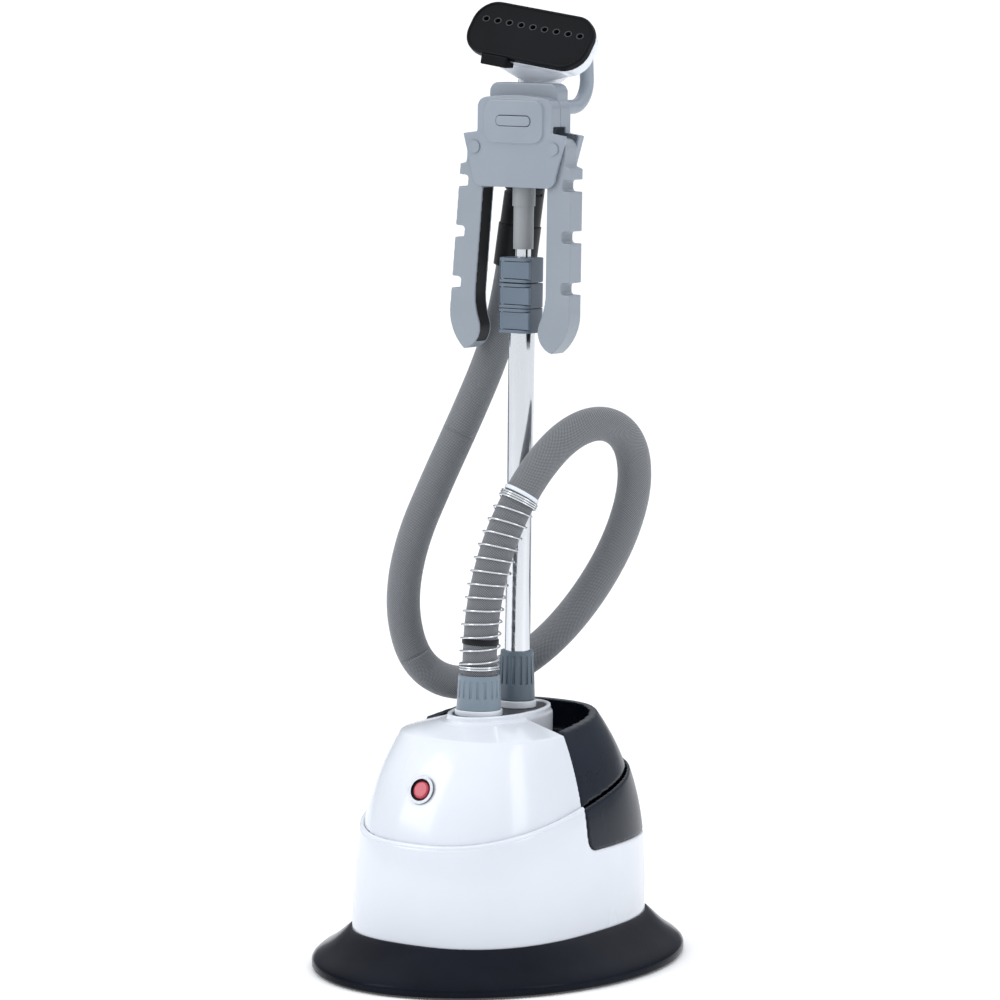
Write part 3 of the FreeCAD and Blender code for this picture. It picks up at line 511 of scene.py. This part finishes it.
def oval_rows(name, rows, material, around=160, close=False):
    # Rings of soft-cornered ovals, each (half x, half y, z, squareness), joined into a skin.
    verts, faces = [], []
    for half_x, half_y, z, power in rows:
        for k in range(around):
            angle = 2 * math.pi * k / around
            c, s = math.cos(angle), math.sin(angle)
            x = half_x * math.copysign(abs(c) ** (2 / power), c)
            y = half_y * math.copysign(abs(s) ** (2 / power), s)
            verts.append((x, y, z))
    count = len(rows)
    for i in range(count if close else count - 1):
        j = (i + 1) % count
        for k in range(around):
            n = (k + 1) % around
            faces.append((i * around + k, i * around + n, j * around + n, j * around + k))
    mesh = bpy.data.meshes.new(name)
    mesh.from_pydata(verts, [], faces)
    work = bmesh.new()
    work.from_mesh(mesh)
    bmesh.ops.recalc_face_normals(work, faces=work.faces)
    work.to_mesh(mesh)
    work.free()
    return add_piece(name, mesh, material)


def skirt_row(share, z, inset=0.0):
    # The dish is an oval at its rim and squares up to the housing's corners further in.
    half = [rim + (foot - rim) * share - inset for rim, foot in zip(SKIRT_HALF, BODY_FOOT_HALF)]
    return (*half, z, 2.0 + 0.6 * max(0.0, share) ** 2)


black_gloss = lacquered("black_gloss", (0.005, 0.006, 0.010), 0.15, (0.012, 0.014, 0.021))
skirt_rows = [skirt_row(share, z) for share, z in SKIRT_PROFILE]
skirt_under = [skirt_row(share, max(0.0021, z - 0.0024), 0.0024) for share, z in SKIRT_PROFILE[2:]]
skirt = oval_rows("skirt", skirt_rows + list(reversed(skirt_under)), black_gloss, close=True)
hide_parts("base_skirt")
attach(skirt, "base")

foot_rubber = moulded("foot_rubber", (0.012, 0.012, 0.013), 0.8, grain=500.0, depth=0.0001, vary=0.3)
zinc_steel = polished("zinc_steel", (0.52, 0.53, 0.55), 0.3)
dress(foot_rubber, "rubber_feet")
dress(black_satin, "base_plate")
dress(zinc_steel, "base_screws")

# ---------------------------------------------------------------- white housing
# Two glossy white shells meet in a seam that climbs towards the back, the upper one stepped in.
# A raised bead runs along the top of the lower shell. Screws hold them from below.


def softened(name, source, material, voxel, passes=3, factor=0.5):
    # A copy of a CAD part with its sharp edges rounded as a mould would leave them.
    mesh = node[source].data.copy()
    mesh.name = name
    work = bmesh.new()
    work.from_mesh(mesh)
    bmesh.ops.remove_doubles(work, verts=work.verts, dist=0.00001)
    work.to_mesh(mesh)
    work.free()
    made = bpy.data.objects.new(name, mesh)
    bpy.context.scene.collection.objects.link(made)
    remesh = made.modifiers.new("remesh", "REMESH")
    remesh.mode = "VOXEL"
    remesh.voxel_size = voxel
    soften = made.modifiers.new("soften", "SMOOTH")
    soften.factor = factor
    soften.iterations = passes
    bpy.context.view_layer.update()
    finished = bpy.data.meshes.new_from_object(made.evaluated_get(bpy.context.evaluated_depsgraph_get()))
    bpy.data.objects.remove(made)
    finished.name = name
    piece = add_piece(name, finished, material)
    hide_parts(source)
    return piece


def softened_parts(parts, material, body, voxel, passes=3):
    pieces = []
    for source in parts:
        piece = softened(source + "_shape", source, material, voxel, passes)
        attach(piece, body)
        pieces.append(piece)
    return pieces


white_shell = moulded("white_shell", (0.72, 0.755, 0.815), 0.24, grain=1200.0, depth=0.00002, coat=0.35, vary=0.012)
softened_parts(("lower_shell", "upper_shell"), white_shell, "base", 0.0011, 8)

SEAM_HEIGHT = 0.142
SEAM_SLOPE = 0.19
BEAD_RADIUS = 0.0021
TANK_EDGE_Y = -0.0145
BEAD_STEP = 0.002
BEAD_INSET = 0.0017
SQUARENESS = 2.6


def housing_half(z):
    # Half the housing's width and depth at a height: near upright low down, closing in at the top.
    rise = (z - 0.025) / 0.177
    return 0.0995 * (1 - 0.003 * rise - 0.273 * rise ** 3), 0.144 * (1 + 0.025 * rise - 0.344 * rise ** 3)


def seam_place(angle, inset):
    # The point of the sloping seam in one direction from the middle.
    z = SEAM_HEIGHT
    for _ in range(8):
        half_x, half_y = housing_half(z)
        y = (half_y - inset) * math.copysign(abs(math.sin(angle)) ** (2 / SQUARENESS), math.sin(angle))
        z = SEAM_HEIGHT + SEAM_SLOPE * y
    x = (half_x - inset) * math.copysign(abs(math.cos(angle)) ** (2 / SQUARENESS), math.cos(angle))
    return Vector((x, y, z))


def node_tree(name, **inputs):
    # A geometry tree with the line or points to work on as its first input.
    tree = bpy.data.node_groups.new(name, "GeometryNodeTree")
    tree.interface.new_socket("Geometry", in_out="INPUT", socket_type="NodeSocketGeometry")
    for label, kind in inputs.items():
        tree.interface.new_socket(label, in_out="INPUT", socket_type=kind)
    tree.interface.new_socket("Geometry", in_out="OUTPUT", socket_type="NodeSocketGeometry")
    return tree, tree.nodes.new("NodeGroupInput"), tree.nodes.new("NodeGroupOutput")


def finish_tree(tree, given, result, source):
    # Makes instances real and paints them.
    real = tree.nodes.new("GeometryNodeRealizeInstances")
    paint = tree.nodes.new("GeometryNodeSetMaterial")
    tree.links.new(source, real.inputs["Geometry"])
    tree.links.new(real.outputs["Geometry"], paint.inputs["Geometry"])
    tree.links.new(given.outputs["Paint"], paint.inputs["Material"])
    tree.links.new(paint.outputs["Geometry"], result.inputs["Geometry"])


def swept_line_tree():
    # A round cord of one thickness along the input line.
    tree, given, result = node_tree(
        "swept_line", Thickness="NodeSocketFloat", Sides="NodeSocketInt", Paint="NodeSocketMaterial")
    curve = tree.nodes.new("GeometryNodeMeshToCurve")
    section = tree.nodes.new("GeometryNodeCurvePrimitiveCircle")
    sweep = tree.nodes.new("GeometryNodeCurveToMesh")
    sweep.inputs["Fill Caps"].default_value = True
    tree.links.new(given.outputs["Geometry"], curve.inputs["Mesh"])
    tree.links.new(given.outputs["Sides"], section.inputs["Resolution"])
    tree.links.new(given.outputs["Thickness"], section.inputs["Radius"])
    tree.links.new(curve.outputs["Curve"], sweep.inputs["Curve"])
    tree.links.new(section.outputs["Curve"], sweep.inputs["Profile Curve"])
    finish_tree(tree, given, result, sweep.outputs["Mesh"])
    return tree


def grow(name, places, edges, tree, material, **values):
    # Runs a geometry tree over points and edges and keeps the result as a plain piece.
    mesh = bpy.data.meshes.new(name)
    mesh.from_pydata([tuple(p) for p in places], edges, [])
    made = bpy.data.objects.new(name, mesh)
    bpy.context.scene.collection.objects.link(made)
    grown = made.modifiers.new("grown", "NODES")
    grown.node_group = tree
    values["Paint"] = material
    for item in tree.interface.items_tree:
        if item.in_out == "INPUT" and item.name in values:
            grown[item.identifier] = values[item.name]
    bpy.context.view_layer.update()
    finished = bpy.data.meshes.new_from_object(made.evaluated_get(bpy.context.evaluated_depsgraph_get()))
    bpy.data.objects.remove(made)
    finished.name = name
    return add_piece(name, finished, material)


def ride_as(piece, body):
    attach(piece, body)


def open_edges(count):
    return [(i, i + 1) for i in range(count - 1)]


swept_line = swept_line_tree()
bead_turns = [math.radians(-180 + 0.6 * i) for i in range(1, 300)]
bead_line = [p for p in (seam_place(turn, BEAD_INSET) for turn in bead_turns) if p.y < TANK_EDGE_Y]
bead_line = even_steps(bead_line, BEAD_STEP)
seam_bead = grow("seam_bead", bead_line, open_edges(len(bead_line)), swept_line, white_shell,
                 Thickness=BEAD_RADIUS, Sides=14)
ride_as(seam_bead, "base")

# ---------------------------------------------------------------- top insert and port rings
# A glossy black oval drops into the top of the housing, and white rings trim its two ports.

dress(black_gloss, "top_insert")
softened_parts(("hose_port_ring", "pole_port_ring"), white_shell, "base", 0.0004, 4)

# ---------------------------------------------------------------- water tank
# A dark smoked tank in two welded halves wraps round the back of the pole column. It lifts straight
# up by its rim, and a sprung valve in its cap seals it when it leaves the seat below.


def smoked(name, colour, rough):
    # Smoked plastic, nearly opaque, with water marks that show as slightly duller patches.
    made, tree, shader = new_material(name)
    marks = link_noise(tree, 14.0, 5.0)
    shades = link_shades(tree, marks.outputs["Fac"], colour, scaled(colour, 1.5))
    tree.links.new(shades, shader.inputs["Base Color"])
    tree.links.new(link_range(tree, marks.outputs["Fac"], rough, rough * 1.6), shader.inputs["Roughness"])
    shader.inputs["Specular IOR Level"].default_value = 0.16
    shader.inputs["Coat Weight"].default_value = 0.07
    shader.inputs["Coat Roughness"].default_value = 0.07
    return made


smoked_tank = smoked("smoked_tank", (0.008, 0.0115, 0.019), 0.2)
softened_parts(("tank_body", "tank_rim"), smoked_tank, "water_tank", 0.0013, 8)
dress(smoked_tank, "tank_cap")
dress(zinc_steel, "valve_stem")

# ---------------------------------------------------------------- power switch
# A red translucent button in a black cup, ringed in chrome, leaning back with the front wall.

red_glow = moulded("red_glow", (0.46, 0.035, 0.065), 0.25, grain=500.0, coat=0.3, vary=0.15)
dress(red_glow, "power_button")
bezel_chrome = polished("bezel_chrome", (0.24, 0.25, 0.27), 0.22)
dress(bezel_chrome, "switch_bezel")
dress(black_satin, "switch_housing", "microswitch")

# ---------------------------------------------------------------- boiler and plumbing
# A cast boiler feeds steam up a silicone pipe to the outlet, and a second pipe brings it water.

cast_metal = moulded("cast_metal", (0.42, 0.42, 0.43), 0.5, grain=240.0, depth=0.0004, vary=0.2)
cast_metal.node_tree.nodes["Principled BSDF"].inputs["Metallic"].default_value = 0.9
silicone = moulded("silicone", (0.62, 0.60, 0.55), 0.55, grain=200.0, vary=0.06)
dress(cast_metal, "boiler", "boiler_cover")
dress(silicone, "steam_pipe", "feed_tube")
dress(black_satin, "terminal_block", "water_inlet_seat", "cord_gland")
grey_socket = moulded("grey_socket", (0.26, 0.28, 0.30), 0.45, vary=0.05)
dress(grey_socket, "pole_socket", "hose_socket")

# ---------------------------------------------------------------- collar nuts
# Tapered hand nuts with ribs for grip, mid grey on the hose and darker slate on the pole.

hose_nut_grey = moulded("hose_nut_grey", (0.185, 0.235, 0.285), 0.36, vary=0.04)
pole_nut_slate = moulded("pole_nut_slate", (0.095, 0.13, 0.165), 0.38, vary=0.05)
softened_parts(("hose_collar_nut",), hose_nut_grey, "hose_nut", 0.00045, 3)
softened_parts(("pole_collar_nut",), pole_nut_slate, "pole_nut", 0.00045, 3)

# ---------------------------------------------------------------- telescopic pole
# Four thin chromed steel tubes, each sliding in the one below.

dress(chrome, "mast_tube_1", "mast_tube_2", "mast_tube_3", "mast_tube_4")

# ---------------------------------------------------------------- pole clamps
# Slate grey flip clamps on the three outer tubes, each with a lever on a steel pin.

clamp_slate = moulded("clamp_slate", (0.115, 0.152, 0.198), 0.36, vary=0.05)
for i, body in enumerate(("base", "mast_2", "mast_3"), 1):
    softened_parts((f"mast_clamp_{i}",), clamp_slate, body, 0.00045, 5)
    softened_parts((f"clamp_lever_{i}",), clamp_slate, f"lever_{i}", 0.0004, 5)
dress(zinc_steel, "clamp_pin_1", "clamp_pin_2", "clamp_pin_3")

# ---------------------------------------------------------------- hanger head
# Two grey half shells screwed together on a socket that turns on the innermost tube. A raised
# panel on the front carries the release button for the arms.

hanger_grey = moulded("hanger_grey", (0.265, 0.303, 0.352), 0.34, coat=0.1, vary=0.03)
softened_parts(("hanger_front", "hanger_back"), hanger_grey, "hanger", 0.0006, 6)
softened_parts(("release_button",), hanger_grey, "release_button", 0.0004, 5)
sleeve_grey = moulded("sleeve_grey", (0.27, 0.285, 0.30), 0.4, vary=0.04)
dress(sleeve_grey, "hanger_socket")
dress(zinc_steel, "hanger_screws")

# ---------------------------------------------------------------- folding arms
# Each arm is a grey moulding with strap notches down its outside and a black liner inside that is
# painted shade on its inner face, on a pivot through the head in the hanger's grey.

arm_grey = moulded("arm_grey", (0.262, 0.298, 0.340), 0.36, coat=0.08, vary=0.03)
for side in ("left", "right"):
    softened_parts(("arm_" + side,), arm_grey, "arm_" + side, 0.0006, 6)
    # Painted shade: the black liner stands in for the shade on each arm's inner face.
    dress(black_satin, "arm_liner_" + side)
    dress(hanger_grey, "arm_pivot_" + side)

# ---------------------------------------------------------------- cradle
# A two-pronged fork moulded in the hanger's grey, its tips curled up behind the head's neck.

softened_parts(("cradle",), hanger_grey, "hanger", 0.0006, 6)

# ---------------------------------------------------------------- steam head and handle
# A white funnel carries the black steam face with its row of holes. The handle below it is ribbed
# for the fingers and ends in a cuff that takes the hose.

softened_parts(("head_shell",), white_shell, "handset", 0.0008, 10)
plate_black = moulded("plate_black", (0.005, 0.0055, 0.007), 0.36, depth=0.00006, vary=0.2, shine=0.09)
softened_parts(("steam_plate", "accessory_latch"), plate_black, "handset", 0.0005, 4)
softened_parts(("handle_grip", "hose_cuff"), black_satin, "handset", 0.0005, 4)

HANDSET_PLACE = Matrix.Translation((-0.010, 0.056, 0.738)) @ Matrix.Rotation(math.radians(8.0), 4, "Y")
PLATE_TILT = math.radians(31.0)
PLATE_PLACE = HANDSET_PLACE @ Matrix.Translation((0.004, -0.026, 0.040)) @ Matrix.Rotation(
    math.radians(90.0) - PLATE_TILT, 4, "X")
PLATE_FACE = 0.006
PLATE_HALF = (0.060, 0.025)
PLATE_CORNER = 0.021
HOLE_COUNT = 9
HOLE_PITCH = 0.0118
HOLE_ROW_RISE = 0.007


def ring_rows_tree():
    # The same stretched ring set at every input point.
    tree, given, result = node_tree(
        "ring_rows", Opening="NodeSocketFloat", Thickness="NodeSocketFloat", Turn="NodeSocketRotation",
        Stretch="NodeSocketVector", Paint="NodeSocketMaterial")
    loop = tree.nodes.new("GeometryNodeCurvePrimitiveCircle")
    loop.inputs["Resolution"].default_value = 24
    section = tree.nodes.new("GeometryNodeCurvePrimitiveCircle")
    section.inputs["Resolution"].default_value = 8
    sweep = tree.nodes.new("GeometryNodeCurveToMesh")
    copies = tree.nodes.new("GeometryNodeInstanceOnPoints")
    tree.links.new(given.outputs["Opening"], loop.inputs["Radius"])
    tree.links.new(given.outputs["Thickness"], section.inputs["Radius"])
    tree.links.new(loop.outputs["Curve"], sweep.inputs["Curve"])
    tree.links.new(section.outputs["Curve"], sweep.inputs["Profile Curve"])
    tree.links.new(given.outputs["Geometry"], copies.inputs["Points"])
    tree.links.new(sweep.outputs["Mesh"], copies.inputs["Instance"])
    tree.links.new(given.outputs["Turn"], copies.inputs["Rotation"])
    tree.links.new(given.outputs["Stretch"], copies.inputs["Scale"])
    finish_tree(tree, given, result, copies.outputs["Instances"])
    return tree


def rounded_loop(half_x, half_y, corner, steps=12):
    places = []
    for start, sx, sy in ((0, 1, 1), (90, -1, 1), (180, -1, -1), (270, 1, -1)):
        for i in range(steps + 1):
            turn = math.radians(start + 90 * i / steps)
            places.append((sx * (half_x - corner) + corner * math.cos(turn),
                           sy * (half_y - corner) + corner * math.sin(turn)))
    return places


ring_rows = ring_rows_tree()
eyelet_grey = moulded("eyelet_grey", (0.035, 0.038, 0.044), 0.45, vary=0.1)
hole_places = [PLATE_PLACE @ Vector(((i - (HOLE_COUNT - 1) / 2) * HOLE_PITCH, HOLE_ROW_RISE, PLATE_FACE))
               for i in range(HOLE_COUNT)]
eyelets = grow("plate_eyelets", hole_places, [], ring_rows, eyelet_grey, Opening=0.0025, Thickness=0.0004,
               Turn=PLATE_PLACE.to_euler(), Stretch=(1.25, 1.0, 1.0))
ride_as(eyelets, "handset")
border = [PLATE_PLACE @ Vector((x, y, PLATE_FACE - 0.0002))
          for x, y in rounded_loop(PLATE_HALF[0] - 0.0014, PLATE_HALF[1] - 0.0014, PLATE_CORNER - 0.0014)]
border_edges = open_edges(len(border)) + [(len(border) - 1, 0)]
plate_border = grow("plate_border", border, border_edges, swept_line, plate_black, Thickness=0.0012, Sides=10)
ride_as(plate_border, "handset")
